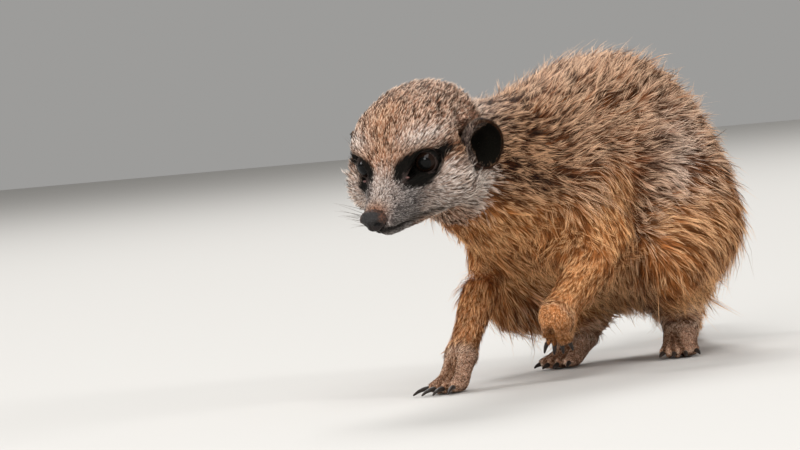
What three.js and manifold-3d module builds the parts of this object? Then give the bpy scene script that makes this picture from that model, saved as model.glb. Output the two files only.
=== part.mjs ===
// A meerkat caught in mid-step: low crouch, back arched, left forepaw lifted and folded.
// Millimetres, +Z up. The animal looks along -X, its left side is -Y, and it stands on Z = 0.
// Every surface here is the outer surface of the coat. The body is one smooth field of distances,
// turned into meshes region by region, and parted into named pieces by thin cuts.
import * as THREE from "three";
import { mergeVertices } from "three/addons/utils/BufferGeometryUtils.js";
import Module from "manifold-3d";

const wasm = await Module();
wasm.setup();

// ---------------------------------------------------------------- driving sizes

const GAP = 0.3; // between two pieces that touch
const WELD = 0.002; // vertices closer than this share a place
const FOLD_GAP = 0.06; // between two folds of one piece
const SIDES = { left: -1, right: 1 };

const at = (x = 0, y = 0, z = 0) => new THREE.Vector3(x, y, z);

// The spine, seen from the side: x and z of each station, with the trunk's half height and half width.
const SPINE = [
  { x: -92, z: 96, high: 25, wide: 23 },
  { x: -62, z: 89.5, high: 29, wide: 25 },
  { x: -32, z: 86, high: 35, wide: 29 },
  { x: 2, z: 90, high: 39, wide: 33 },
  { x: 32, z: 90.5, high: 43, wide: 36 },
  { x: 53, z: 73.5, high: 40, wide: 35.5 },
  { x: 61, z: 50, high: 32, wide: 34 },
];
const BREAST = { from: at(-46, 0, 80), to: at(-8, 0, 75), radius: 23 };
const BELLY = { from: at(-6, 0, 63), to: at(44, 0, 52), radius: 25 };

// Each leg is a chain of joints with the coat's outer radius there. Its upper length is parted from the trunk
// by the egg called upper. Its lower length is what lies inside a sleeve, which runs along it between two
// shares of its length.
const LEGS = {
  left_fore: {
    joints: [at(-34, -20, 84), at(-23, -29, 57), at(-60, -23, 28)],
    radii: [19, 11, 7],
    upper: { centre: at(-26, -44, 66), size: at(24, 24, 28) },
    lower: { shares: [0.32, 0.96], radii: [14, 10.5] },
  },
  right_fore: {
    joints: [at(-32, 20, 80), at(-34, 25, 52), at(-71, 19, 15.5)],
    radii: [18, 10, 6.2],
    upper: { centre: at(-36, 44, 66), size: at(22, 24, 26) },
    lower: { shares: [0.3, 0.97], radii: [13.5, 9.5] },
  },
  left_hind: {
    joints: [at(53, -20, 59), at(14, -34, 43), at(62, -11, 24)],
    radii: [29, 17, 8],
    upper: { centre: at(34, -54, 48), size: at(46, 42, 40) },
    lower: { shares: [0.62, 1.25], radii: [15, 14] },
  },
  right_hind: {
    joints: [at(50, 20, 60), at(-8, 31, 34), at(42, 23, 20)],
    radii: [29, 16.5, 8],
    upper: { centre: at(18, 50, 44), size: at(54, 44, 40) },
    lower: { shares: [0.62, 1.25], radii: [14, 13] },
  },
};

// A paw starts where its leg ends. Ball is the knuckle line, heading is the way the toes point, in degrees
// from straight ahead and outwards, and the toes' tips drop by fall degrees.
const PAWS = {
  left_fore: {
    ball: at(-53.5, -18.5, 21),
    heading: -145,
    fall: 42,
    reach: 8,
    breadth: 7,
    claw: 6,
    lifted: true,
  },
  right_fore: { ball: at(-80, 18.6, 4.3), heading: 3, fall: 9, reach: 10, breadth: 10, claw: 9 },
  left_hind: { ball: at(37, -22.5, 4.3), heading: 30, fall: 9, reach: 11, breadth: 11.5, claw: 4.5 },
  right_hind: { ball: at(13, 21, 4.3), heading: 2, fall: 9, reach: 11, breadth: 11.5, claw: 4.5 },
};
const PALM = { wrist_half: 1.2, ball_share: 0.26, ball_radius: 4.6, wrist_less: 1 };
const TOES = { count: 4, radius: 2.9, root_more: 0.5, root_share: 0.36, tip_share: 0.62, outer_less: 0.2 };
// A claw starts a little ahead of its toe's tip. Radii are at its root, middle and end. Crown and droop are
// shares of its length. On a paw that stands, its end keeps off the floor.
const CLAW = { ahead: 0.4, radii: [1.2, 1.05, 0.45], crown: 0.1, droop: 0.16 };
const CLAW_ROOT_HEIGHT = 1.1;
const CLAW_OFF_FLOOR = 0.9;
const LIFTED_DROOP = 0.12;

// The tail leaves the rump, drops to the floor and sweeps round to the right.
const TAIL = {
  path: [
    at(70, 0, 58),
    at(90, 4, 40),
    at(103, 12, 18),
    at(120, 24, 8.4),
    at(148, 42, 7.1),
    at(178, 60, 6),
    at(205, 82, 4.7),
    at(222, 101, 3.2),
  ],
  radii: [18, 13, 10, 8.8, 7.6, 6.4, 5, 2.4],
  leaves: 0.65, // the share of the path's first length that lies inside the rump
  gap_share: 0.04, // the gap to the rump, as a share of that length
  sections: 26,
  sides: 10,
};

// The head has its own frame: -X to the nose, with its origin in the middle of the skull.
const HEAD = { centre: at(-125, -5, 104.5), pitch: 20, yaw: 4 };
const SKULL = [
  { centre: at(5, 0, 3.5), size: at(31, 24.5, 21.5) },
  { centre: at(-8, 0, 7), size: at(14, 19.5, 14.5) },
];
const CHEEK = { from: at(6, 15, -8), to: at(-9, 17, -10.5), radii: [14, 12.5] };
const BRIDGE = { from: at(-14, 0, -6.5), to: at(-39, 0, -12.4), radii: [14, 7.2] };
const JAW = { from: at(-4, 0, -16.5), to: at(-34, 0, -18), radii: [12, 5.4] };
const EYE = { centre: at(-14.6, 13.9, 0.4), radius: 5.4 };
const ORBIT = { out: at(-0.76, 0.64, 0.1), away: 5.6, size: at(5.6, 5.4, 4.6) };
const EAR = { centre: at(9.8, 25.6, -3.6), size: at(8.6, 5.2, 11.2), turn: 28, cup: 0.74, cup_out: 0.62 };
const NOSE = { centre: at(-45.3, 0, -12.2), size: at(4.4, 5.8, 4.4) };

// The cut behind the head, the one before the shoulders, and where the tail's tip starts along its path.
const NAPE = { point: at(-99, -2, 104), normal: at(-1, -0.06, -0.12) };
const WITHERS = { point: at(-60, 0, 100), normal: at(-1, 0, 0.1) };
const TAIL_TIP = 4;

// How wide the fillets are where shapes grow together.
const FILLET = {
  spine: 14,
  trunk: 12,
  leg: 6,
  torso: 9,
  palm: 4,
  toes: 2.2,
  paw: 3,
  skull: 7,
  muzzle: 6,
  head: 10,
  orbit: 3,
};

// Cells of the grids that the fields are sampled on, the boxes that hold the trunk and the head, the margins
// round the legs' and paws' joints, and the facets of round things.
const CELL = { trunk: 10.3, leg: 6.4, head: 5, paw: 3.6 };
const TRUNK_BOX = [at(-112, -70, -2), at(106, 70, 144)];
const HEAD_BOX = [at(-180, -40, 64), at(-84, 34, 140)];
const LEG_MARGIN = 24;
const PAW_MARGIN = 10;
const EGG_FACETS = [12, 8];
const SLEEVE_FACETS = 12;
const CLAW_SECTIONS = 3;
const CLAW_SIDES = 6;
const FIELD_STEP = 0.05; // over which a field's slope is taken
const REACH = 400; // further than any point of the animal from a cut

// ---------------------------------------------------------------- fields of distance

// A round bone from a to b whose radius runs from ra to rb.
function bone(a, b, ra, rb) {
  const along = b.clone().sub(a);
  const square = along.lengthSq();
  return (p) => {
    const rel = p.clone().sub(a);
    const t = THREE.MathUtils.clamp(rel.dot(along) / square, 0, 1);
    return rel.addScaledVector(along, -t).length() - THREE.MathUtils.lerp(ra, rb, t);
  };
}

// An egg with half sizes rx, ry, rz.
function egg(c, size) {
  return (p) => {
    const q = p.clone().sub(c).divide(size);
    const k = q.length();
    const g = q.divide(size).length();
    return g > 0 ? (k * (k - 1)) / g : -Math.min(size.x, size.y, size.z);
  };
}

// Joins two distances with a fillet about k across.
function soft(a, b, k) {
  const h = Math.max(k - Math.abs(a - b), 0) / k;
  return Math.min(a, b) - (h * h * k) / 4;
}
const blend = (k, ...fields) => (p) => fields.map((f) => f(p)).reduce((a, b) => soft(a, b, k));
const carve = (k, field, tool) => (p) => -soft(-field(p), tool(p), k);

// ---------------------------------------------------------------- the body's field

function spineField() {
  const parts = SPINE.slice(1).map((s, i) => {
    const r = SPINE[i];
    const squeeze = (r.wide / r.high + s.wide / s.high) / 2;
    const f = bone(at(r.x, 0, r.z), at(s.x, 0, s.z), r.high, s.high);
    return (p) => f(at(p.x, p.y / squeeze, p.z)) * Math.min(1, squeeze + 0.1);
  });
  return blend(FILLET.spine, ...parts);
}

const trunkField = blend(
  FILLET.trunk,
  spineField(),
  bone(BREAST.from, BREAST.to, BREAST.radius, BREAST.radius),
  bone(BELLY.from, BELLY.to, BELLY.radius, BELLY.radius),
);

const legField = ({ joints, radii }) =>
  blend(FILLET.leg, ...joints.slice(1).map((j, i) => bone(joints[i], j, radii[i], radii[i + 1])));

// The last length of a leg, from where its sleeve starts.
function shinField({ joints, radii, lower }) {
  const [share] = lower.shares;
  const start = joints[1].clone().lerp(joints[2], share);
  return bone(start, joints[2], THREE.MathUtils.lerp(radii[1], radii[2], share), radii[2]);
}

// Directions of a paw: forward along the toes, across to the animal's right, and up off its back.
function pawFrame({ heading, fall }, side) {
  const turn = THREE.MathUtils.degToRad(heading);
  const forward = at(-Math.cos(turn), side * Math.sin(turn), 0);
  const down = THREE.MathUtils.degToRad(fall);
  const ahead = forward.clone().multiplyScalar(Math.cos(down)).add(at(0, 0, -Math.sin(down)));
  const across = at(0, 0, 1).cross(forward).negate();
  return { forward, ahead, across };
}

// The toes of a paw, each from its knuckle to its tip.
function toesOf(name) {
  const paw = PAWS[name];
  const { ahead, across } = pawFrame(paw, sideOf(name));
  return Array.from({ length: TOES.count }, (_, i) => {
    const place = (i / (TOES.count - 1)) * 2 - 1;
    const inner = 1 - TOES.outer_less * place * place;
    const root = paw.ball.clone().addScaledVector(across, place * paw.breadth * TOES.root_share);
    const tip = paw.ball
      .clone()
      .addScaledVector(ahead, paw.reach * inner)
      .addScaledVector(across, place * paw.breadth * TOES.tip_share);
    return { root, tip, ahead: tip.clone().sub(root).normalize() };
  });
}

const sideOf = (name) => (name.startsWith("left") ? SIDES.left : SIDES.right);

function pawField(name) {
  const paw = PAWS[name];
  const wrist = LEGS[name].joints[2];
  const { across } = pawFrame(paw, sideOf(name));
  const palm = [-1, 1].map((s) =>
    bone(
      wrist.clone().addScaledVector(across, s * PALM.wrist_half),
      paw.ball.clone().addScaledVector(across, s * paw.breadth * PALM.ball_share),
      LEGS[name].radii[2] - PALM.wrist_less,
      PALM.ball_radius,
    ),
  );
  const thick = TOES.radius + TOES.root_more;
  const toes = toesOf(name).map(({ root, tip }) => bone(root, tip, thick, TOES.radius));
  return blend(FILLET.toes, blend(FILLET.palm, ...palm), (p) => Math.min(...toes.map((f) => f(p))));
}

// ---------------------------------------------------------------- the head's field, in the head's frame

const headMatrix = new THREE.Matrix4().compose(
  HEAD.centre,
  new THREE.Quaternion().setFromEuler(
    new THREE.Euler(
      0,
      THREE.MathUtils.degToRad(-HEAD.pitch),
      THREE.MathUtils.degToRad(HEAD.yaw),
      "ZYX",
    ),
  ),
  at(1, 1, 1),
);
const toHead = headMatrix.clone().invert();
const mirrored = (v, side) => at(v.x, v.y * side, v.z);

const boneOf = ({ from, to, radii }) => bone(from, to, ...radii);
const skull = blend(FILLET.skull, ...SKULL.map(({ centre, size }) => egg(centre, size)));
const cheeks = Object.values(SIDES).map((s) =>
  boneOf({ ...CHEEK, from: mirrored(CHEEK.from, s), to: mirrored(CHEEK.to, s) }),
);
const muzzle = blend(FILLET.muzzle, boneOf(BRIDGE), boneOf(JAW));
const orbits = Object.values(SIDES).map((s) => {
  const centre = mirrored(EYE.centre, s).addScaledVector(mirrored(ORBIT.out, s), ORBIT.away);
  return egg(centre, ORBIT.size);
});
const headField = carve(
  FILLET.orbit,
  blend(FILLET.head, skull, blend(FILLET.muzzle, ...cheeks), muzzle),
  (p) => Math.min(...orbits.map((f) => f(p))),
);
const headInBody = (p) => headField(p.clone().applyMatrix4(toHead));

// The whole body as far as the wrists and hocks, without tail, ears, eyes and nose, and then with the paws.
const torso = blend(FILLET.torso, trunkField, headInBody, ...Object.values(LEGS).map(legField));
const pawWithShin = (name) => blend(FILLET.paw, shinField(LEGS[name]), pawField(name));
const body = blend(FILLET.paw, torso, ...Object.keys(LEGS).map(pawField));

// ---------------------------------------------------------------- from a field to a solid

// Samples a field on a grid of cells, puts one vertex in each cell that the surface crosses, draws it onto
// the surface, and joins the four cells round each crossed edge by two triangles.
function polygonise(field, box, cell) {
  const size = box.getSize(at(0, 0, 0));
  const n = [size.x, size.y, size.z].map((s) => Math.ceil(s / cell) + 1);
  const point = (i, j, k) => at(box.min.x + i * cell, box.min.y + j * cell, box.min.z + k * cell);
  const index = (i, j, k) => i + n[0] * (j + n[1] * k);
  const value = new Float32Array(n[0] * n[1] * n[2]);
  for (let k = 0; k < n[2]; k++)
    for (let j = 0; j < n[1]; j++)
      for (let i = 0; i < n[0]; i++) {
        const edge = [i, j, k].some((c, a) => c === 0 || c === n[a] - 1);
        value[index(i, j, k)] = edge ? cell : field(point(i, j, k));
      }
  const inside = (i, j, k) => value[index(i, j, k)] < 0;

  const vertices = [];
  const vertexOf = new Map();
  const corners = [0, 1, 2, 3, 4, 5, 6, 7].map((c) => [c & 1, (c >> 1) & 1, c >> 2]);
  for (let k = 0; k < n[2] - 1; k++)
    for (let j = 0; j < n[1] - 1; j++)
      for (let i = 0; i < n[0] - 1; i++) {
        const centre = at(0, 0, 0);
        let crossings = 0;
        corners.forEach((a, ai) =>
          corners.slice(ai + 1).forEach((b) => {
            if (Math.abs(a[0] - b[0]) + Math.abs(a[1] - b[1]) + Math.abs(a[2] - b[2]) !== 1) return;
            const va = value[index(i + a[0], j + a[1], k + a[2])];
            const vb = value[index(i + b[0], j + b[1], k + b[2])];
            if (va < 0 === vb < 0) return;
            const pa = point(i + a[0], j + a[1], k + a[2]);
            centre.add(pa.lerp(point(i + b[0], j + b[1], k + b[2]), va / (va - vb)));
            crossings += 1;
          }),
        );
        if (!crossings) continue;
        vertexOf.set(index(i, j, k), vertices.length);
        vertices.push(onSurface(field, centre.divideScalar(crossings), cell));
      }

  const triangles = [];
  const steps = [at(1, 0, 0), at(0, 1, 0), at(0, 0, 1)].map((s) => s.toArray());
  for (let k = 0; k < n[2] - 1; k++)
    for (let j = 0; j < n[1] - 1; j++)
      for (let i = 0; i < n[0] - 1; i++)
        steps.forEach((step, axis) => {
          const here = inside(i, j, k);
          if (here === inside(i + step[0], j + step[1], k + step[2])) return;
          const u = steps[(axis + 1) % 3];
          const w = steps[(axis + 2) % 3];
          const ring = [[0, 0], [1, 0], [1, 1], [0, 1]].map(([s, t]) =>
            vertexOf.get(index(i - s * u[0] - t * w[0], j - s * u[1] - t * w[1], k - s * u[2] - t * w[2])),
          );
          if (!here) ring.reverse();
          const across = (a, b) => vertices[ring[a]].distanceTo(vertices[ring[b]]);
          if (across(1, 3) < across(0, 2)) ring.push(ring.shift());
          triangles.push(ring[0], ring[1], ring[2], ring[0], ring[2], ring[3]);
        });
  return solidFrom(vertices.flatMap((v) => v.toArray()), triangles);
}

// Moves a point onto the field's surface, by at most half a cell.
function onSurface(field, p, cell) {
  const h = FIELD_STEP;
  for (let step = 0; step < 3; step++) {
    const d = field(p);
    const slope = at(
      field(at(p.x + h, p.y, p.z)) - d,
      field(at(p.x, p.y + h, p.z)) - d,
      field(at(p.x, p.y, p.z + h)) - d,
    ).divideScalar(h);
    const move = THREE.MathUtils.clamp(-d / Math.max(slope.lengthSq(), 0.2), -cell / 4, cell / 4);
    p.addScaledVector(slope, move);
  }
  return p;
}

// ---------------------------------------------------------------- solids and cuts

function solidFrom(positions, triangles) {
  return new wasm.Manifold(
    new wasm.Mesh({
      numProp: 3,
      vertProperties: new Float32Array(positions),
      triVerts: new Uint32Array(triangles),
    }),
  );
}

function solidOf(geometry) {
  const bare = geometry.clone();
  bare.deleteAttribute("normal");
  bare.deleteAttribute("uv");
  const merged = mergeVertices(bare, 1e-4);
  return solidFrom(merged.attributes.position.array, merged.index.array);
}

// A tube of round sections along a path, closed at both ends. Radii are spaced evenly along it.
function tube(path, radii, sections, sides) {
  const curve = new THREE.CatmullRomCurve3(path);
  const frames = curve.computeFrenetFrames(sections, false);
  const girth = new THREE.CatmullRomCurve3(radii.map((r, i) => at(i, r, 0)));
  const positions = [];
  for (let i = 0; i <= sections; i++) {
    const centre = curve.getPoint(i / sections);
    const r = girth.getPoint(i / sections).y;
    for (let s = 0; s < sides; s++) {
      const a = (s / sides) * Math.PI * 2;
      const rim = centre
        .clone()
        .addScaledVector(frames.normals[i], Math.cos(a) * r)
        .addScaledVector(frames.binormals[i], Math.sin(a) * r);
      positions.push(...rim.toArray());
    }
  }
  const triangles = [];
  for (let i = 0; i < sections; i++)
    for (let s = 0; s < sides; s++) {
      const a = i * sides + s;
      const b = i * sides + ((s + 1) % sides);
      triangles.push(a, b, b + sides, a, b + sides, a + sides);
    }
  const ends = [0, sections].map((i) => {
    positions.push(...curve.getPoint(i / sections).toArray());
    return positions.length / 3 - 1;
  });
  for (let s = 0; s < sides; s++) {
    const next = (s + 1) % sides;
    triangles.push(ends[0], next, s);
    triangles.push(ends[1], sections * sides + s, sections * sides + next);
  }
  return solidFrom(positions, triangles);
}

// An egg as a solid, grown by more on every side.
function eggSolid(centre, size, more, turn = 0) {
  const ball = new THREE.SphereGeometry(1, ...EGG_FACETS);
  ball.scale(size.x + more, size.y + more, size.z + more);
  ball.rotateZ(THREE.MathUtils.degToRad(turn));
  ball.translate(...centre.toArray());
  return solidOf(ball);
}

// A block on the side of a plane that its normal points to.
function half(point, normal) {
  const block = new THREE.BoxGeometry(REACH, REACH, REACH);
  block.translate(0, 0, REACH / 2);
  block.applyQuaternion(new THREE.Quaternion().setFromUnitVectors(at(0, 0, 1), normal.clone().normalize()));
  block.translate(...point.toArray());
  return solidOf(block);
}

// Parts a solid at a plane: what lies ahead of it along the normal, and what lies behind.
function part(solid, point, normal) {
  const shift = normal.clone().normalize().multiplyScalar(GAP / 2);
  return {
    ahead: solid.intersect(half(point.clone().add(shift), normal)),
    behind: solid.intersect(half(point.clone().sub(shift), normal.clone().negate())),
  };
}

// The sleeve that takes one length of a leg off the rest: a cone's length from a to b, grown by more.
function sleeve(a, b, ra, rb, more) {
  const length = a.distanceTo(b) + 2 * more;
  const cone = new THREE.CylinderGeometry(rb + more, ra + more, length, SLEEVE_FACETS);
  cone.applyQuaternion(
    new THREE.Quaternion().setFromUnitVectors(at(0, 1, 0), b.clone().sub(a).normalize()),
  );
  cone.translate(...a.clone().lerp(b, 0.5).toArray());
  return solidOf(cone);
}

const largest = (solid) => solid.decompose().sort((a, b) => b.volume() - a.volume())[0];
const floor = half(at(0, 0, 0), at(0, 0, 1));
const cuboid = (points, margin) => new THREE.Box3().setFromPoints(points).expandByScalar(margin);

// ---------------------------------------------------------------- pieces

const meerkat = new THREE.Group();

// A solid's surface. Where two folds of it touch, each draws in a little so that it stays one closed skin.
function surfaceOf(solid) {
  const mesh = solid.getMesh();
  const surface = new THREE.BufferGeometry()
    .setAttribute("position", new THREE.BufferAttribute(mesh.vertProperties, 3))
    .setIndex(new THREE.BufferAttribute(mesh.triVerts, 1));
  surface.computeVertexNormals();
  const { position, normal } = surface.attributes;
  const places = new Map();
  for (let i = 0; i < position.count; i++) {
    const key = at().fromBufferAttribute(position, i).toArray().map((c) => Math.round(c / WELD)).join();
    places.set(key, [...(places.get(key) ?? []), i]);
  }
  for (const i of [...places.values()].filter((shared) => shared.length > 1).flat()) {
    const inward = at().fromBufferAttribute(normal, i).multiplyScalar(-FOLD_GAP / 2);
    position.setXYZ(i, ...at().fromBufferAttribute(position, i).add(inward).toArray());
  }
  return surface;
}

function add(name, solid, finish, matrix) {
  const [color, roughness] = FINISHES[finish];
  const material = new THREE.MeshStandardMaterial({ color, roughness, metalness: 0 });
  const made = new THREE.Mesh(surfaceOf(solid), material);
  made.name = name;
  if (matrix) made.applyMatrix4(matrix);
  meerkat.add(made);
}

// Colour and roughness of each covering.
const FINISHES = {
  coat: ["#a8805c", 0.9],
  face: ["#b3a493", 0.9],
  paw: ["#9c8673", 0.85],
  dark: ["#1c1613", 0.9],
  claw: ["#1c1613", 0.35],
  nose: ["#2e211c", 0.4],
  eye: ["#0b0807", 0.05],
};

// A slim, slightly hooked claw at the end of a toe, with its root inside the toe.
function clawSolid(name, { tip, ahead }, more) {
  const { claw: length, lifted } = PAWS[name];
  const start = tip.clone().addScaledVector(ahead, CLAW.ahead);
  const drop = lifted ? -LIFTED_DROOP * length : Math.max(-CLAW.droop * length, CLAW_ROOT_HEIGHT - start.z);
  const end = start.clone().addScaledVector(ahead, length).add(at(0, 0, drop));
  if (!lifted) end.z = Math.max(end.z, CLAW_OFF_FLOOR);
  const middle = start.clone().lerp(end, 0.5).add(at(0, 0, CLAW.crown * length));
  return tube([start, middle, end], CLAW.radii.map((r) => r + more), CLAW_SECTIONS, CLAW_SIDES);
}

// What parts one leg, grown by more: the egg of its upper length and the sleeve of its lower length.
const upperEgg = ({ upper }, more) => eggSolid(upper.centre, upper.size, more);
function lowerSleeve({ joints, lower }, more) {
  const [a, b] = lower.shares.map((t) => joints[1].clone().lerp(joints[2], t));
  return sleeve(a, b, ...lower.radii, more);
}

function pawSolid(name, more) {
  const reach = [LEGS[name].joints[2], PAWS[name].ball, ...toesOf(name).map((t) => t.tip)];
  const field = pawWithShin(name);
  const paw = polygonise((p) => field(p) - more, cuboid(reach, PAW_MARGIN), CELL.paw).intersect(floor);
  return paw.subtract(lowerSleeve(LEGS[name], GAP - more));
}

// The lower length, the paw and the claws of each leg.
function addLowerLegs() {
  for (const [name, leg] of Object.entries(LEGS)) {
    const [, bend, end] = leg.joints;
    const lower = polygonise(body, cuboid([bend, end], LEG_MARGIN), CELL.leg)
      .intersect(floor)
      .intersect(lowerSleeve(leg, 0));
    let paw = pawSolid(name, 0);
    toesOf(name).forEach((toe, i) => {
      paw = paw.subtract(clawSolid(name, toe, GAP));
      add(`${name}_claw_${i + 1}`, clawSolid(name, toe, 0), "claw");
    });
    const names = name.endsWith("fore") ? ["forearm", "paw"] : ["shank", "foot"];
    add(`${name}_${names[0]}`, largest(lower), "coat");
    add(`${name}_${names[1]}`, largest(paw), "paw");
  }
}

// Neck, trunk and the upper lengths of the legs come out of one mesh.
function addTrunk() {
  let rest = polygonise(torso, cuboid(TRUNK_BOX, 0), CELL.trunk).intersect(floor);
  for (const [name, leg] of Object.entries(LEGS))
    rest = rest.subtract(lowerSleeve(leg, GAP)).subtract(pawSolid(name, GAP));
  for (const [name, leg] of Object.entries(LEGS)) {
    const upper = largest(rest.intersect(upperEgg(leg, 0)));
    add(`${name}_${name.endsWith("fore") ? "upper_arm" : "thigh"}`, upper, "coat");
    rest = rest.subtract(upperEgg(leg, GAP));
  }
  const { ahead, behind } = part(rest, WITHERS.point, WITHERS.normal);
  add("neck", largest(part(ahead, NAPE.point, NAPE.normal).behind), "coat");
  add("trunk", largest(behind.subtract(tailSolid(TAIL.leaves, GAP))), "coat");
}

// The tail beyond a share of its first length.
function tailSolid(share, more) {
  const [start, next] = TAIL.path;
  const whole = tube(TAIL.path, TAIL.radii.map((r) => r + more), TAIL.sections, TAIL.sides);
  return part(whole.intersect(floor), start.clone().lerp(next, share), next.clone().sub(start)).ahead;
}

function addTail() {
  const [before, bend, after] = TAIL.path.slice(TAIL_TIP - 1, TAIL_TIP + 2);
  const { ahead, behind } = part(tailSolid(TAIL.leaves + TAIL.gap_share, 0), bend, after.clone().sub(before));
  add("tail_base", largest(behind), "coat");
  add("tail_tip", largest(ahead), "dark");
}

function addHead() {
  let head = part(polygonise(torso, cuboid(HEAD_BOX, 0), CELL.head), NAPE.point, NAPE.normal).ahead;
  head = head.transform(toHead.elements);
  const fittings = [["nose", NOSE.centre, NOSE.size, 0, "nose"]];
  for (const [side, s] of Object.entries(SIDES)) {
    const ball = at(EYE.radius, EYE.radius, EYE.radius);
    fittings.push([`${side}_eye`, mirrored(EYE.centre, s), ball, 0, "eye"]);
    fittings.push([`${side}_ear`, mirrored(EAR.centre, s), EAR.size, s * EAR.turn, "dark"]);
  }
  for (const [name, centre, size, turn, finish] of fittings) {
    head = head.subtract(eggSolid(centre, size, GAP, turn));
    let solid = eggSolid(centre, size, 0, turn);
    if (name.endsWith("ear")) {
      const out = at(0, Math.sign(centre.y), 0).applyAxisAngle(at(0, 0, 1), THREE.MathUtils.degToRad(turn));
      const cup = size.clone().multiplyScalar(EAR.cup);
      const hollow = centre.clone().addScaledVector(out, size.y * EAR.cup_out);
      solid = solid.subtract(eggSolid(hollow, cup, 0, turn));
    }
    add(name, solid, finish, headMatrix);
  }
  add("head", largest(head), "face", headMatrix);
}

addHead();
addTrunk();
addTail();
addLowerLegs();

// The origin is on the floor, under the middle of the animal.
const extent = new THREE.Box3().setFromObject(meerkat, true);
const middle = extent.getCenter(at(0, 0, 0));
meerkat.position.set(-middle.x, -middle.y, -extent.min.z);

export default meerkat;
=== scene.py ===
"""A meerkat caught in mid-step, as a still, life-size model. Metres, +Z up; it looks along -X."""

import math

import bmesh
import bpy
import numpy as np
from mathutils import Euler, Matrix, Vector
from mathutils.bvhtree import BVHTree
from mathutils.kdtree import KDTree


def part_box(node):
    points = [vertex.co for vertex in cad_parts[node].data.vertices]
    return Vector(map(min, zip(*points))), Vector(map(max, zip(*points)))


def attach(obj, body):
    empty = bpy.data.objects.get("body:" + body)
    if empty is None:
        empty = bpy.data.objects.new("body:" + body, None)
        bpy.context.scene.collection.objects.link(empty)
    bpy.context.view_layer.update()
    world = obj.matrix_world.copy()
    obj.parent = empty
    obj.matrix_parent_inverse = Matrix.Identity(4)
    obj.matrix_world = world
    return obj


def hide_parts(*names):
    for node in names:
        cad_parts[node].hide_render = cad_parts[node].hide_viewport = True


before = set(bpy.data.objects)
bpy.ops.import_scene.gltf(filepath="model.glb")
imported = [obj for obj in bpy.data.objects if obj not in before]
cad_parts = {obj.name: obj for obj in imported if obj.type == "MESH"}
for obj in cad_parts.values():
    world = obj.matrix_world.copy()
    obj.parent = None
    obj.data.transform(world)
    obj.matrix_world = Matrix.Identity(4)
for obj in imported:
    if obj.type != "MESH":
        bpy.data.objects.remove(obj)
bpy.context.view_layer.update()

# ------------------------ the studio
# A pale floor and five soft lamps. The camera is level with the animal and looks at its near cheek,
# a little rolled, from 1.7 metres.
MM = 0.001
AZIMUTH, HEIGHT, ROLL = math.radians(-55), math.radians(2), math.radians(5.8)
CAMERA_AWAY = 1.675
LENS, SENSOR = 187.0, 36.0
FRAME_WIDTH, FRAME_HEIGHT = 800, 450
EYE_PIXEL = (428.4, 159.6)


def middle(node):
    low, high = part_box(node)
    return (low + high) / 2


def aim(thing, place, back, roll=0.0):
    """Puts a lamp or camera at a place with its back along the given direction."""
    side = Vector((0, 0, 1)).cross(back).normalized()
    up = back.cross(side)
    right = side * math.cos(roll) - up * math.sin(roll)
    up = side * math.sin(roll) + up * math.cos(roll)
    turn = Matrix((right, up, back)).transposed().to_4x4()
    thing.matrix_world = Matrix.Translation(place) @ turn
    return right, up


def link(name, data):
    thing = bpy.data.objects.new(name, data)
    bpy.context.scene.collection.objects.link(thing)
    return thing


eye_place = middle("left_eye")
lens = bpy.data.cameras.new("camera")
lens.lens, lens.sensor_width, lens.clip_start = LENS, SENSOR, 0.05
camera = link("camera", lens)
bpy.context.scene.camera = camera
level = math.cos(HEIGHT)
back = Vector((math.sin(AZIMUTH) * level, -math.cos(AZIMUTH) * level, math.sin(HEIGHT)))
right, up = aim(camera, eye_place, back, ROLL)
per_pixel = CAMERA_AWAY * SENSOR / LENS / FRAME_WIDTH
aside = (EYE_PIXEL[0] - FRAME_WIDTH / 2) * per_pixel
above = (FRAME_HEIGHT / 2 - EYE_PIXEL[1]) * per_pixel
aim(camera, eye_place + back * CAMERA_AWAY - right * aside - up * above, back, ROLL)

FLOOR_ACROSS = 9.0
floor_bm = bmesh.new()
bmesh.ops.create_grid(floor_bm, x_segments=1, y_segments=1, size=FLOOR_ACROSS / 2)
floor_mesh = bpy.data.meshes.new("floor")
floor_bm.to_mesh(floor_mesh)
floor_bm.free()
floor = link("floor", floor_mesh)
floor_paint = bpy.data.materials.new("floor_paint")
floor_paint.use_nodes = True
floor_shader = floor_paint.node_tree.nodes["Principled BSDF"]
floor_shader.inputs["Base Color"].default_value = (0.56, 0.545, 0.52, 1)
floor_shader.inputs["Roughness"].default_value = 0.85
floor_mesh.materials.append(floor_paint)

bpy.context.scene.view_settings.view_transform = "Standard"
world = bpy.data.worlds.new("studio")
bpy.context.scene.world = world
world.use_nodes = True
sky = world.node_tree.nodes["Background"]
sky.inputs["Color"].default_value = (0.80, 0.79, 0.77, 1)
sky.inputs["Strength"].default_value = 0.42

# Name, place, size across, watts.
LIT_PLACE = Vector((-0.03, 0, 0.08))
LAMPS = [
    ("key", (-2.4, -1.4, 2.7), 2.4, 102.0),
    ("fill", (0.9, -3.2, 1.4), 0.8, 34.0),
    ("low", (-2.9, -0.7, 0.9), 0.9, 26.0),
    ("side", (-1.9, 2.2, 1.3), 1.0, 44.0),
    ("back", (2.0, 1.5, 3.0), 1.6, 88.0),
]
for lamp_name, place, across, watts in LAMPS:
    lamp = bpy.data.lights.new(lamp_name, "AREA")
    lamp.size, lamp.energy = across, watts
    aim(link(lamp_name, lamp), Vector(place), (Vector(place) - LIT_PLACE).normalized())

# ------------------------ the skin
# One skin from nose to tail tip, stretched over the whole body. It lies inside the coat's outer surface by
# the depth of the fur, which is deep on the back and almost nothing on the muzzle and paws.
FORE, HIND = ("upper_arm", "forearm", "paw"), ("thigh", "shank", "foot")
LIMBS = {"left_fore": FORE, "right_fore": FORE, "left_hind": HIND, "right_hind": HIND}
SKIN_CELL = 1.3 * MM
OVERLAP = 0.3 * MM

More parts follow.
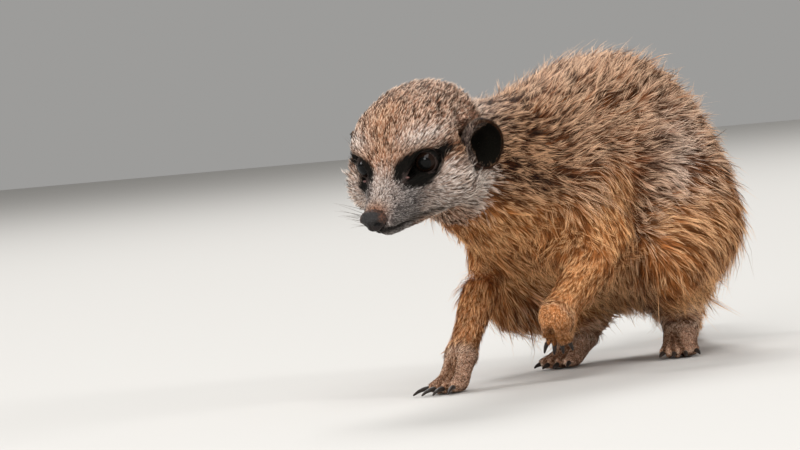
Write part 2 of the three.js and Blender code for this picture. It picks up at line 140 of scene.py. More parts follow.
# For each part of the body, in millimetres: how deep the coat is, how long and wide a hair is, how high its
# tip stands as a share of its length, hairs per square millimetre, hairs to a tuft, and how tightly a tuft
# closes at its tips.
COAT = {
    "head": (0.9, 4.2, 0.20, 0.16, 4.4, 3, 0.45),
    "neck": (4.6, 11.5, 0.22, 0.42, 4.0, 7, 0.62),
    "trunk": (6.4, 15.5, 0.22, 0.50, 3.6, 6, 0.60),
    "tail_base": (3.6, 11.0, 0.24, 0.32, 2.8, 9, 0.62),
    "tail_tip": (2.0, 8.0, 0.22, 0.28, 3.6, 9, 0.60),
    "upper_arm": (3.2, 9.0, 0.20, 0.26, 3.8, 6, 0.55),
    "forearm": (1.3, 6.2, 0.18, 0.22, 5.2, 5, 0.50),
    "paw": (0.4, 2.0, 0.16, 0.15, 6.0, 3, 0.35),
    "thigh": (4.8, 14.0, 0.22, 0.42, 3.5, 6, 0.60),
    "shank": (2.4, 8.5, 0.21, 0.32, 4.0, 7, 0.60),
    "foot": (0.4, 2.0, 0.16, 0.15, 6.0, 3, 0.35),
}
DEPTH, LENGTH, WIDTH, LIFT, CROWD, TUFT, CLOSE = range(7)
flesh = {name: name for name in ("head", "neck", "trunk", "tail_base", "tail_tip")}
for limb, parts in LIMBS.items():
    for part in parts:
        flesh[f"{limb}_{part}"] = part


def shape_of(bm):
    return np.array([v.co for v in bm.verts])


def put(bm, places):
    """Moves the points of a mesh to the given places."""
    for v, place in zip(bm.verts, places):
        v.co = place


def join(bm, rings):
    """Faces between each ring of points and the next."""
    for inner, outer in zip(rings, rings[1:]):
        for i in range(len(inner)):
            j = (i + 1) % len(inner)
            bm.faces.new((inner[i], inner[j], outer[j], outer[i]))


def copy_of(*nodes, grown=0.0):
    """The named solids as one mesh, each welded and grown by a little."""
    whole = bmesh.new()
    for node in nodes:
        bm = bmesh.new()
        bm.from_mesh(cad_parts[node].data)
        bmesh.ops.remove_doubles(bm, verts=bm.verts, dist=1e-6)
        bm.normal_update()
        for v in bm.verts:
            v.co += v.normal * grown
        grown_mesh = bpy.data.meshes.new(node)
        bm.to_mesh(grown_mesh)
        bm.free()
        whole.from_mesh(grown_mesh)
        bpy.data.meshes.remove(grown_mesh)
    return whole


body_bm = copy_of(*flesh, grown=OVERLAP)
skin_mesh = bpy.data.meshes.new("skin")
body_bm.to_mesh(skin_mesh)
body_bm.free()
skin = link("skin", skin_mesh)
remesh = skin.modifiers.new("whole", "REMESH")
remesh.mode, remesh.voxel_size = "VOXEL", SKIN_CELL
graph = bpy.context.evaluated_depsgraph_get()
skin_mesh = bpy.data.meshes.new_from_object(skin.evaluated_get(graph))
skin.modifiers.clear()
skin.data = skin_mesh

# The head's own frame: -X to the nose, origin in the middle of the skull.
HEAD_PITCH, HEAD_YAW = math.radians(20), math.radians(6)
EYE = np.array((-12.2, 13.2, -0.6))
head_turn = Euler((0, -HEAD_PITCH, HEAD_YAW)).to_matrix()
eyes_middle = (middle("left_eye") + middle("right_eye")) / 2 / MM
to_head = np.array(head_turn)
head_at = np.array(eyes_middle - head_turn @ Vector((EYE[0], 0, EYE[2])))


def in_head(places):
    return (np.asarray(places) - head_at) @ to_head


def out_of_head(places):
    return np.asarray(places) @ to_head.T + head_at


def fade(start, end, x):
    """0 before start, 1 past end, and a smooth step between them."""
    t = np.clip((x - start) / (end - start), 0, 1)
    return t * t * (3 - 2 * t)


def bump(x, width):
    return np.exp(-((x / width) ** 2))


def spot(places, centre, size=1.0, width=1.0):
    """A soft bump round a place: 1 in its middle."""
    return bump(np.linalg.norm((places - np.array(centre)) / size, axis=1), width)


def mirrored(places):
    """A copy of the places with all of them on one side of the middle."""
    places = np.array(places)
    places[:, 1] = abs(places[:, 1])
    return places


# Only the outermost shell stays, and the face gets a finer mesh for its folds.
FACE_BACK = 2.0
skin_bm = bmesh.new()
skin_bm.from_mesh(skin_mesh)
left, largest = set(skin_bm.verts), set()
while left:
    shell, rim = set(), [left.pop()]
    while rim:
        here = rim.pop()
        shell.add(here)
        found = {e.other_vert(here) for e in here.link_edges} & left
        rim += found
        left -= found
    largest = max(largest, shell, key=len)
bmesh.ops.delete(skin_bm, geom=[v for v in skin_bm.verts if v not in largest], context="VERTS")
face_edges = [e for e in skin_bm.edges if all(in_head(v.co / MM)[0] < FACE_BACK for v in e.verts)]
bmesh.ops.subdivide_edges(skin_bm, edges=face_edges, cuts=1, use_grid_fill=True)
bmesh.ops.triangulate(skin_bm, faces=[f for f in skin_bm.faces if len(f.verts) > 4])
skin_bm.to_mesh(skin_mesh)
skin_bm.free()


def read(data, field, width, kind=np.float32):
    out = np.empty(len(data) * width, kind)
    data.foreach_get(field, out)
    return out.reshape(-1, width) if width > 1 else out


points = read(skin_mesh.vertices, "co", 3).astype(float) / MM
edges = read(skin_mesh.edges, "vertices", 2, np.int32)
count = len(points)
links = np.bincount(edges.ravel(), minlength=count)


def relax(values, turns, keep=None):
    """Evens out values over the skin's neighbouring points, in turns that each go half the way."""
    shape = np.shape(values)
    values = np.array(values, float).reshape(count, -1)
    a, b = edges.T
    for _ in range(turns):
        total = [np.bincount(a, v[b], count) + np.bincount(b, v[a], count) for v in values.T]
        move = (np.stack(total, 1) / links[:, None] - values) / 2
        values += move if keep is None else move * (1 - keep[:, None])
    return values.reshape(shape)


def unit(v):
    return np.asarray(v) / np.maximum(np.linalg.norm(v, axis=-1, keepdims=True), 1e-9)


def along_hide(ways, normals):
    """Directions laid flat on the skin."""
    return ways - normals * np.sum(ways * normals, 1, keepdims=True)


def normals_of(places):
    skin_mesh.vertices.foreach_set("co", (places * MM).astype(np.float32).ravel())
    skin_mesh.update()
    return read(skin_mesh.vertex_normals, "vector", 3).astype(float)


# Which solid each point of the skin belongs to.
facets = [(facet.center / MM, node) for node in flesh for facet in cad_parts[node].data.polygons]
facet_places, facet_nodes = zip(*facets)


def tree_of(places):
    tree = KDTree(len(places))
    for i, p in enumerate(places):
        tree.insert(p, i)
    tree.balance()
    return tree


def nearest(tree, places):
    return np.array([tree.find(p)[1] for p in places])


nodes = np.array(facet_nodes)[nearest(tree_of(facet_places), points)]
kinds = np.array([flesh[node] for node in nodes])


def over(table):
    """A value for each point of the skin, from a table by part of the body."""
    return sum(np.where(kinds == kind, value, 0.0) for kind, value in table.items())


# Facets and the seams between solids are smoothed out, least on the head and paws.
FACET_TURNS, FINE_TURNS = 55, 5
FIRM = {"head": 0.94, "paw": 0.97, "foot": 0.97, "forearm": 0.7, "shank": 0.7, "tail_tip": 0.6}
firm = relax(over(FIRM), 8)
points = relax(points, FACET_TURNS, keep=firm)
points = relax(points, FINE_TURNS, keep=firm * 0.8)

q = mirrored(in_head(points))
head = kinds == "head"
on_head = relax(head, 4)
crown = fade(-12, 18, q[:, 0]) * on_head
jowl = fade(-25, -6, q[:, 0]) * fade(8, 19, q[:, 1]) * fade(5, -8, q[:, 2]) * on_head
coat = {column: over({kind: row[column] for kind, row in COAT.items()}) for column in range(7)}
coat[DEPTH] = relax(coat[DEPTH] + 1.4 * crown * (1 - jowl) + 1.9 * jowl, 14)
coat[LENGTH] += 2.6 * crown + (4.6 - 4.2 * fade(-4, 8, q[:, 0])) * jowl
coat[LIFT] += 0.20 * crown * (1 - jowl) + 0.26 * jowl
# Long wisps hang off the haunches, and the hair is short where the fore limbs leave the chest.
hang = fade(15, 40, points[:, 0]) * fade(82, 60, points[:, 2]) * np.isin(kinds, ("thigh", "trunk"))
bare_chest = fade(-62, -84, points[:, 0]) * fade(84, 66, points[:, 2]) * (kinds == "trunk")
coat[LENGTH] = (coat[LENGTH] + 5.0 * hang) * (1 - 0.45 * bare_chest)
coat[LIFT] *= 1 - 0.3 * bare_chest
coat = {column: value if column == DEPTH else relax(value, 30) for column, value in coat.items()}
# The hair is shortest and finest on the muzzle and round the eyes.
fine = fade(-14, -32, q[:, 0]) * on_head
from_ear = (np.hypot((q[:, 0] - 10.5) / 8.0, (q[:, 2] + 4.6) / 11.5) - 1) * 9.5
by_ear = head & (q[:, 1] > 12) & (q[:, 0] < 14)
coat[LENGTH] = np.where(by_ear, np.minimum(coat[LENGTH], np.maximum(1.8, from_ear + 0.8)), coat[LENGTH])
coat[LIFT] *= np.where(by_ear, fade(-2, 9, from_ear) * 0.7 + 0.3, 1.0)
for column, share in ((LENGTH, 0.45), (WIDTH, 0.25), (CROWD, -0.35)):
    coat[column] *= 1 - share * fine
normals = normals_of(points)
points -= normals * coat[DEPTH][:, None]
points = relax(points, 2)

# The cheek slopes in towards the front of each ear, so that the ear's rim stands free of it.
SLOPE_X, SLOPE_Y = (-9, -5, 0, 4, 9), (28.0, 25.0, 22.0, 19.5, 16.5)
q = in_head(points)
by_slope = on_head * fade(-21, -13, q[:, 2]) * fade(14, 8, q[:, 2]) * (abs(q[:, 0]) < 9.5)
over_slope = np.maximum(abs(q[:, 1]) - np.interp(q[:, 0], SLOPE_X, SLOPE_Y), 0)
q[:, 1] -= np.sign(q[:, 1]) * over_slope * by_slope
points = relax(out_of_head(q), 6, keep=1 - by_slope * fade(10, 14, abs(q[:, 1])))

# Folds of the face. The eye's own frame has its axis out of the socket, one direction back and one up.
GAZE = unit((-0.96, 0.22, 0.1))
BACKWARD = unit((0.22, 0.96, 0.0))
UPWARD = -np.cross(GAZE, BACKWARD)
EYE_RADIUS = 5.6


def by_eye(side_places):
    """Places beside one eye: back from its middle, up, and out of the socket."""
    rel = side_places - EYE
    return rel @ BACKWARD, rel @ UPWARD, rel @ GAZE


MOUTH_X = (-46, -40, -30, -20, -13)
MOUTH_Z = (-17.0, -17.8, -19.2, -20.6, -20.0)


def mouth_gap(places):
    """Distance above the line of the mouth, and how far the mouth reaches there."""
    line = np.interp(places[:, 0], MOUTH_X, MOUTH_Z)
    return places[:, 2] - line, fade(-11, -15, places[:, 0])


# The edge of the eye's opening is a teardrop whose point is the inner corner.
OPEN_BACK, OPEN_FRONT, OPEN_UP, OPEN_DOWN = 4.4, 4.6, 4.4, 4.3
CORNER_OUT, CORNER_DROP = 3.0, 3.3
LID_THICK, LID_EDGE, LID_REACH = 0.55, 1.15, 1.75
EYE_SINK = 3.4


def opening(turn):
    """The edge at a turn from the eye's back corner: how far back and how far up it is."""
    c, sn = np.cos(turn), np.sin(turn)
    front = np.maximum(-c, 0)
    back = np.where(c > 0, OPEN_BACK, OPEN_FRONT) * c
    up = np.where(sn > 0, OPEN_UP, OPEN_DOWN) * sn
    return back - CORNER_OUT * front**4, up - CORNER_DROP * front**3


def lid_share(back, up):
    """How far out a place beside the eye is: 1 at the edge of its opening."""
    turns = np.linspace(-math.pi, math.pi, 181)
    edge_back, edge_up = opening(turns)
    edge_turn, edge_away = np.unwrap(np.arctan2(edge_up, edge_back)), np.hypot(edge_back, edge_up)
    edge = np.interp(np.arctan2(up, back), edge_turn, edge_away, period=2 * math.pi)
    return np.hypot(back, up) / edge


# How far each point of the face moves out.
normals = normals_of(points)
q = mirrored(in_head(points))
back, up, _ = by_eye(q)
gap, mouth = mouth_gap(q)
lips = 0.45 * bump(gap - 2.4, 2.0) - 0.4 * bump(gap + 2.2, 1.6) - bump(gap, 0.75)
pad, cheek = spot(q, (-34, 7.5, -13.5), (7, 4, 4.5)), spot(q, (-12, 22, -10), (9, 9, 8))
brow = bump(np.hypot((back + 0.5) / 8.5, (up - 8.6) / 2.4), 1.0)
under = bump(np.hypot((back + 1.5) / 7.5, (up + 8.8) / 2.2), 1.0)
move = (lips * mouth + 0.8 * pad + 0.9 * brow + 0.5 * under + 0.6 * cheek) * on_head
points += normals * move[:, None]

# Round the opening the skin is drawn over the ball as lids, and inside it it sinks behind the ball.
q = in_head(points)
one_side = np.where(q[:, 1:2] < 0, (1, -1, 1), (1, 1, 1))
back, up, out = by_eye(mirrored(q))
share = lid_share(back, up)
shell = np.sqrt(np.maximum((EYE_RADIUS + LID_THICK) ** 2 - back**2 - up**2, 0))
near_eye = head & (share < LID_REACH + 0.3) & (out > -4)
drawn = fade(LID_REACH, LID_EDGE, share)
over_ball = np.maximum(out, shell) * drawn + out * (1 - drawn)
sunk = fade(1.05, 0.92, share)
new_out = over_ball * (1 - sunk) + (EYE_RADIUS - EYE_SINK) * sunk
shift = np.where(near_eye, new_out - out, 0)
points += (np.outer(shift, GAZE) * one_side) @ to_head.T

# Clefts between the toes. Ball is the middle of the line of knuckles, in a frame set by where the head is.
# Heading and fall are in degrees, lengths in millimetres.
BODY_SHIFT = head_at - np.array((-125, -5, 104.5))
PAWS = {
    "left_fore": dict(ball=(-56, -18.5, 21.5), heading=-145, fall=30, reach=8, breadth=6),
    "right_fore": dict(ball=(-80, 18.6, 4.3), heading=3, fall=9, reach=10, breadth=10),
    "left_hind": dict(ball=(35.6, -21.4, 4.3), heading=30, fall=9, reach=11, breadth=12.5),
    "right_hind": dict(ball=(13, 21, 4.3), heading=2, fall=9, reach=11, breadth=11.5),
}
CLEFT_DEEP, CLEFT_WIDE = 2.1, 0.8
CLEFTS = (-2 / 3, 0, 2 / 3)
paw_ahead, paw_along = {}, {}
between_toes = np.zeros(count)
for limb, paw in PAWS.items():
    side = -1 if limb.startswith("left") else 1
    turn, fall = math.radians(paw["heading"]), math.radians(paw["fall"])
    level = np.array((-math.cos(turn), side * math.sin(turn), 0))
    ahead = level * math.cos(fall) - np.array((0, 0, math.sin(fall)))
    across = -np.cross((0, 0, 1), level)
    paw_ahead[limb] = ahead
    rel = points - (np.array(paw["ball"]) + BODY_SHIFT)
    along, beside = rel @ ahead, rel @ across
    paw_along[limb] = along
    spread = paw["breadth"] * (0.36 + 0.26 * along / paw["reach"])
    paw_part = np.char.startswith(nodes, limb) & ((kinds == "paw") | (kinds == "foot"))
    for place in CLEFTS:
        cleft = bump(beside - place * spread, CLEFT_WIDE) * fade(-10, -3, along) * paw_part
        points -= normals * (CLEFT_DEEP * cleft)[:, None]
        between_toes = np.maximum(between_toes, cleft)
normals = normals_of(points)

# How the hair lies: a direction for each point, laid along the skin. Back is +X, down is -Z.
LIE = {
    "left_fore_upper_arm": (6, -5.5, -28),
    "left_fore_forearm": (-34, 4, -27.5),
    "right_fore_upper_arm": (0, 4.6, -28),
    "right_fore_forearm": (-34, -6, -38),
    "left_hind_thigh": (14, 0, -17),
    "left_hind_shank": (48, 23, -19),
    "left_hind_foot": (-25, -11, -20),
    "right_hind_thigh": (14, 0, -17),
    "right_hind_shank": (50, -8, -14),
    "right_hind_foot": (-29, -2, -16),
    "left_fore_paw": paw_ahead["left_fore"],
    "right_fore_paw": paw_ahead["right_fore"],
    "neck": (10, 0, -2.5),
}
TAIL_X, TAIL_Y = (70, 90, 103, 120, 148, 178, 205, 222), (0, 4, 12, 24, 42, 60, 82, 101)
TAIL_Z = (58, 40, 18, 8.4, 7, 6, 5, 3)
TAIL_WAY = np.stack([TAIL_X, TAIL_Y, TAIL_Z], 1) + BODY_SHIFT
MUZZLE_TIP = np.array((-49.0, 0, -9.0))
PALE_FLANK = np.array((20, -40, 88)) + BODY_SHIFT
SHOULDER_X, RUMP_X = -76, 46

lie = np.zeros((count, 3))
for node, way in LIE.items():
    lie[nodes == node] = unit(way)
for limb in ("left_hind", "right_hind"):
    toes = (nodes == f"{limb}_foot") & (points[:, 2] < 9)
    lie[toes] = paw_ahead[limb]
trunk = kinds == "trunk"
rearward = fade(SHOULDER_X + 70, RUMP_X + 20, points[:, 0])
slope = np.radians(np.interp(points[:, 2], (55, 90, 128), (42, 4, -30)) + 14 * rearward)
lie[trunk] = np.stack([np.cos(slope), np.zeros(count), -np.sin(slope)], 1)[trunk]
chest = trunk & (points[:, 0] < SHOULDER_X + 18) & (points[:, 2] < 75)
lie[chest] = unit((0.6, 0, -0.8))
tail = np.char.startswith(kinds, "tail")
tail_step = np.diff(TAIL_WAY, axis=0)
tail_near = np.argmin(np.linalg.norm(points[tail, None] - (TAIL_WAY[:-1] + tail_step / 2), axis=2), 1)
lie[tail] = unit(tail_step)[tail_near]
lie[head] = unit(in_head(points)[head] - MUZZLE_TIP) @ to_head.T
for _ in range(3):
    lie = unit(along_hide(relax(lie, 8), normals))

# Markings, from 0 to 1 at each point: the skin and the coat over it both read them. Some of the dark is
# painted shade, and the held-up paw's orange is painted warm light. The black patch round an eye is drawn by
# its reach, in millimetres, in each direction.
PATCH_TURN = (16, 28, 40, 60, 116, 151, 165, 185, 221, 253, 312, 362)
PATCH_REACH = (12.0, 12.8, 10.4, 7.6, 7.0, 9.6, 11.2, 11.8, 9.4, 8.3, 6.6, 8.6)
q = mirrored(in_head(points))
x, _, z = points.T
back, up, _ = by_eye(q)
gap, mouth = mouth_gap(q)
on_head = relax(head, 8)
leg = relax(np.isin(kinds, ("forearm", "shank", "upper_arm")), 10)
paw = relax(np.isin(kinds, ("paw", "foot")), 12)

patch_turn = np.degrees(np.arctan2(up + 1, back + 1)) % 360
patch_reach = np.interp(patch_turn, PATCH_TURN, PATCH_REACH, period=360)
patch = 1 - fade(0.88, 1.06, np.hypot(back + 1, up + 1) / patch_reach)
lips = bump(gap + 0.3, 1.2) * mouth
tail_dark = fade(150, 178, x) * tail
# Black also paints shade into the clefts between the toes.
black = np.maximum.reduce([patch * on_head, lips * on_head, tail_dark, 0.6 * between_toes])
bridge = bump(q[:, 1], 6) * fade(-24, -30, q[:, 0]) * fade(-14, -8, q[:, 2])
brow = bump(np.hypot((back + 0.5) / 9, (up - 10) / 3.2), 1.0)
cheek = fade(-27, -14, q[:, 0]) * fade(0, -7, q[:, 2]) * fade(6, 11, q[:, 1])
nape = relax(kinds == "neck", 20) * fade(98, 114, z) * fade(-74, -100, x)
shin = relax(np.isin(kinds, ("forearm", "shank")), 10) * fade(68, 30, z)
forearm = relax(kinds == "forearm", 14)
# Painted warm light: the held-up fore paw is painted more orange and less pale than the other paws, for warm
# light bounced onto it, and its tip rufous and darker.
warm_lit_paw = relax(nodes == "left_fore_paw", 8)
paw_tip = warm_lit_paw * fade(-5, 5, paw_along["left_fore"])
flank_pale = spot(points, PALE_FLANK, (15, 30, 17))
pale = (0.7 * bridge + 0.8 * brow + 1.2 * cheek + 0.30) * on_head + 0.85 * nape
pale += (0.65 * paw + 0.6 * shin) * (1 - 0.9 * warm_lit_paw) + 0.5 * forearm + 0.5 * flank_pale
snout = spot(q, (-42, 0, -9), (3.2, 7.5, 5.0)) * on_head
pale = np.clip(pale, 0, 1) * (1 - 0.8 * snout)
stripe = bump(q[:, 1], 8) * fade(-30, -23, q[:, 0]) * fade(14, -8, q[:, 0]) * fade(2, 8, q[:, 2])
temple = bump(np.hypot((back - 13.5) / 4.5, (up - 0.5) / 5), 1.0)
rufous = np.clip((0.5 * stripe + 0.6 * temple + 0.9 * snout) * on_head + 0.9 * paw_tip, 0, 1)
muzzle = fade(-15, -27, q[:, 0]) * fade(3, -5, q[:, 2]) * on_head * (1 - 0.5 * bridge)
grey = np.clip(muzzle * (1 - 0.8 * snout), 0, 1)
underside = fade(-0.15, -0.75, normals[:, 2])
chest_buff = fade(SHOULDER_X + 44, SHOULDER_X + 6, x) * fade(86, 66, z) * (1 - on_head) * (1 - paw)
haunch = relax(kinds == "thigh", 14) * fade(88, 62, z)
buff = 0.85 * leg + chest_buff + 0.75 * haunch + 0.7 * underside * (1 - on_head) + 0.6 * tail
buff = np.clip(buff * (1 - 0.5 * shin) * (1 - paw) + 0.30 * paw + 0.5 * warm_lit_paw, 0, 1) * (1 - tail_dark)
behind_ear = bump((x + 92) / 24, 1.0) * fade(70, 84, z) * fade(126, 108, z) * (1 - on_head)
# Painted shade: the neck below and behind the cheek is darkened where the head shades it.
neck_shade = bump(np.hypot((q[:, 0] - 17) / 12, (q[:, 2] + 14) / 13), 1.0) * (1 - on_head)
dark = 0.95 * behind_ear + 1.5 * neck_shade + (0.6 * temple + 0.75 * snout) * on_head
# Painted shade: the clefts between the toes are darkened.
dark = np.clip(dark + 0.9 * between_toes + 0.9 * paw_tip, 0, 1)
marks = relax(np.stack([pale, rufous, dark, buff, grey, black], 1), 2)
marks[:, 5] = np.maximum(marks[:, 5], black)


class Socket:
    """A socket of a material's nodes. Sums and products of sockets add Math nodes."""

    def __init__(self, finish, socket):
        self.finish, self.socket = finish, socket

    def _math(self, operation, *values):
        return self.finish.node("Math", {"operation": operation}, *values)

    def __add__(self, other):
        return self._math("ADD", self, other)

    __radd__ = __add__

    def __mul__(self, other):
        return self._math("MULTIPLY", self, other)

    __rmul__ = __mul__

    def __sub__(self, other):
        return self._math("SUBTRACT", self, other)

    def __rsub__(self, other):
        return self._math("SUBTRACT", other, self)

    def between(self, start, end):
        """0 before start, 1 past end, and a smooth step between them."""
        settings = {"interpolation_type": "SMOOTHSTEP", "clamp": True}
        return self.finish.node("MapRange", settings, self, start, end)

    def root(self):
        return self._math("SQRT", self)


class Finish:
    """A material whose nodes are added by expressions."""

    def __init__(self, name, **constants):
        self.material = bpy.data.materials.new(name)
        self.material.use_nodes = True
        self.tree = self.material.node_tree
        self.shader = self.tree.nodes["Principled BSDF"]
        for socket, value in constants.items():
            self.shader.inputs[socket.replace("_", " ")].default_value = value

    def node(self, kind, settings, *values, output=0, **named):
        made = self.tree.nodes.new("ShaderNode" + kind)
        for setting, value in settings.items():
            setattr(made, setting, value)
        for key, value in [*enumerate(values), *named.items()]:
            target = made.inputs[key]
            if isinstance(value, Socket):
                self.tree.links.new(value.socket, target)
            elif value is not None:
                target.default_value = value
        return Socket(self, made.outputs[output])

    def feed(self, value, socket="Base Color"):
        self.tree.links.new(value.socket, self.shader.inputs[socket])

    def attribute(self, name):
        """The three parts of a piece's vector attribute."""
        whole = self.node("Attribute", {"attribute_name": name}, output="Vector")
        return [self.node("SeparateXYZ", {}, whole, output=axis) for axis in "XYZ"]

    def mix(self, share, first, second):
        """From the first colour, at share 0, to the second. The node takes colours as inputs 6 and 7."""
        first, second = (c if isinstance(c, Socket) else (*c, 1) for c in (first, second))
        return self.node("Mix", {"data_type": "RGBA"}, share, *[None] * 5, first, second, output=2)

    def noise(self, scale, detail=3.0, stretch=None):
        place = self.node("TexCoord", {}, output="Object")
        if stretch:
            place = self.node("Mapping", {}, place, Scale=stretch)
        return self.node("TexNoise", {}, Vector=place, Scale=scale, Detail=detail)

    def relief(self, height, distance, strength=1.0):
        bumped = self.node("Bump", {}, Height=height, Distance=distance, Strength=strength)
        self.feed(bumped, "Normal")


# Colours of one hair at its root, at its dark band and at its tip, without and with each marking.
AGOUTI = ((0.290, 0.092, 0.028), (0.026, 0.009, 0.003), (0.820, 0.535, 0.345))
PALE = ((0.520, 0.370, 0.290), (0.052, 0.032, 0.023), (0.980, 0.870, 0.780))
RUFOUS = ((0.330, 0.125, 0.046), (0.080, 0.030, 0.012), (0.680, 0.400, 0.220))
DARK = ((0.150, 0.048, 0.016), (0.008, 0.003, 0.002), (0.700, 0.400, 0.220))
BUFF = ((0.560, 0.205, 0.060), (0.170, 0.058, 0.018), (0.960, 0.560, 0.265))
GREY = ((0.170, 0.145, 0.135), (0.020, 0.016, 0.016), (0.520, 0.475, 0.445))
BLACK = ((0.005, 0.004, 0.003), (0.003, 0.003, 0.002), (0.012, 0.009, 0.007))


def hair_colour(finish, tone, along):
    """The colour of a hair of the given tone, 0 dark to 1 light, at a place along it, from root to tip."""
    first, second = finish.attribute("marks_a"), finish.attribute("marks_b")
    bands = AGOUTI
    for share, other in zip((*first, *second), (PALE, RUFOUS, DARK, BUFF, GREY, BLACK)):
        bands = [finish.mix(share, a, b) for a, b in zip(bands, other)]
    root, band, tip = bands
    light = finish.mix(along.between(0.35, 0.9), root, tip)
    banded = along.between(0.25, 0.42) * (1 - along.between(0.58, 0.78)) * (1 - tone.between(0.55, 0.85))
    light = finish.mix(banded * 0.9, light, band)
    return finish.mix((1 - tone.between(0.16, 0.42)) * 0.85, light, band)


skin_finish = Finish("skin", Roughness=0.8, Specular_IOR_Level=0.1)
grain = skin_finish.noise(900.0, 4.0)
skin_colour = hair_colour(skin_finish, grain.between(0.3, 0.7), grain.between(0.35, 0.75) * 0.8)
skin_finish.feed(skin_colour)
skin_finish.relief(grain, 0.0006, 0.6)
skin_mesh.materials.clear()
skin_mesh.materials.append(skin_finish.material)


def mark(mesh, name, values):
    layer = mesh.attributes.new(name, "FLOAT_VECTOR", "POINT")
    layer.data.foreach_set("vector", np.ascontiguousarray(values, np.float32).ravel())


def wear(mesh, marks):
    """Gives a mesh the six markings of each of its points."""
    mark(mesh, "marks_a", marks[:, :3])
    mark(mesh, "marks_b", marks[:, 3:])


wear(skin_mesh, marks)
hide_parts(*flesh)
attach(skin, "root")

# ------------------------ the eyes
# Two dark, wet balls set in the sockets. Each bulges over the iris, and iris and pupil are almost black,
# with a thin greyish ring round them.
SIDES = {"left": -1, "right": 1}
CORNEA_RISE, CORNEA_EDGE = 0.045, math.cos(math.radians(48))


def from_eye(back, up, out, side):
    """A place in the row's frame from one in an eye's frame."""
    ways = zip((back, up, out), (BACKWARD, UPWARD, GAZE))
    place = EYE + sum(np.multiply.outer(reach, way) for reach, way in ways)
    return out_of_head(place * (1, side, 1)) * MM


def piece_of(name, mesh, finish):
    """A piece that belongs to the whole animal's one body."""
    mesh.materials.append(finish.material)
    piece = link(name, mesh)
    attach(piece, "root")
    return piece


def mesh_piece(name, bm, finish):
    """A finished piece from a bmesh, with its faces turned outwards."""
    bmesh.ops.recalc_face_normals(bm, faces=bm.faces)
    if bm.calc_volume(signed=True) < 0:
        bmesh.ops.reverse_faces(bm, faces=bm.faces)
    for face in bm.faces:
        face.smooth = True
    mesh = bpy.data.meshes.new(name)
    bm.to_mesh(mesh)
    bm.free()
    return piece_of(name, mesh, finish)


def round_off(piece, levels):
    soft = piece.modifiers.new("round", "SUBSURF")
    soft.levels = soft.render_levels = levels


eye_finish = Finish("eye_ball", Roughness=0.04, Specular_IOR_Level=0.12)
gaze_x, gaze_y, _ = eye_finish.attribute("gaze")
from_axis = (gaze_x * gaze_x + gaze_y * gaze_y).root()
streaks = eye_finish.noise(2600.0, 2.0)
iris = eye_finish.mix(streaks, (0.006, 0.003, 0.002), (0.016, 0.008, 0.005))
eye_colour = eye_finish.mix(from_axis.between(0.44, 0.52), (0.003, 0.003, 0.003), iris)
eye_colour = eye_finish.mix(from_axis.between(0.72, 0.80), eye_colour, (0.016, 0.012, 0.011))
eye_colour = eye_finish.mix(from_axis.between(0.84, 0.90), eye_colour, (0.012, 0.008, 0.006))
eye_finish.feed(eye_colour)

for name, side in SIDES.items():
    bm = bmesh.new()
    bmesh.ops.create_uvsphere(bm, u_segments=40, v_segments=26, radius=1.0)
    local = shape_of(bm)
    swell = 1 + CORNEA_RISE * fade(CORNEA_EDGE, 1.0, local[:, 2])
    put(bm, from_eye(*(local * swell[:, None] * EYE_RADIUS).T, side))
    ball = mesh_piece(f"eye_{name}", bm, eye_finish)
    mark(ball.data, "gaze", local)
    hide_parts(f"{name}_eye")

# ------------------------ the eyelids
# A dark bare rim round each eye, drawn out to the inner corner, where a small pink lump of flesh sits.
# It rises out of the skin, rolls over at its edge and tucks in against the ball.
LID_STEPS = 56
# Size of each of a lid's rings against the opening, and height over the ball, in millimetres.
LID_SCALES = (0.86, 0.95, 0.985, 1.03, 1.10, 1.20, 1.36, 1.55)
LID_RISES = (-0.5, -0.05, 0.22, 0.42, 0.60, 0.66, 0.45, 0.0)
BESIDE_EDGE, RAY_FROM = 1.25, 20.0

skin_shell = BVHTree.FromPolygons((points * MM).tolist(), [tuple(f.vertices) for f in skin_mesh.polygons])


@np.vectorize
def skin_under(back, up, side):
    """How far out of the socket the skin is, at a place in an eye's frame."""
    start = Vector(from_eye(back, up, RAY_FROM, side))
    towards = Vector(from_eye(back, up, 0.0, side)) - start
    hit = skin_shell.ray_cast(start, towards.normalized())
    return RAY_FROM - hit[3] / MM if hit[0] else 0.0


lid_finish = Finish("eyelid", Roughness=0.5, Specular_IOR_Level=0.10)
lid_grain = lid_finish.noise(2200.0, 4.0)
lid_finish.feed(lid_finish.mix(lid_grain, (0.010, 0.007, 0.006), (0.045, 0.030, 0.025)))
lid_finish.relief(lid_grain, 0.0003, 0.5)
flesh_finish = Finish("corner_flesh", Roughness=0.3, Specular_IOR_Level=0.5)
flesh_grain = flesh_finish.noise(3000.0)
flesh_finish.feed(flesh_finish.mix(flesh_grain, (0.045, 0.016, 0.014), (0.14, 0.055, 0.045)))

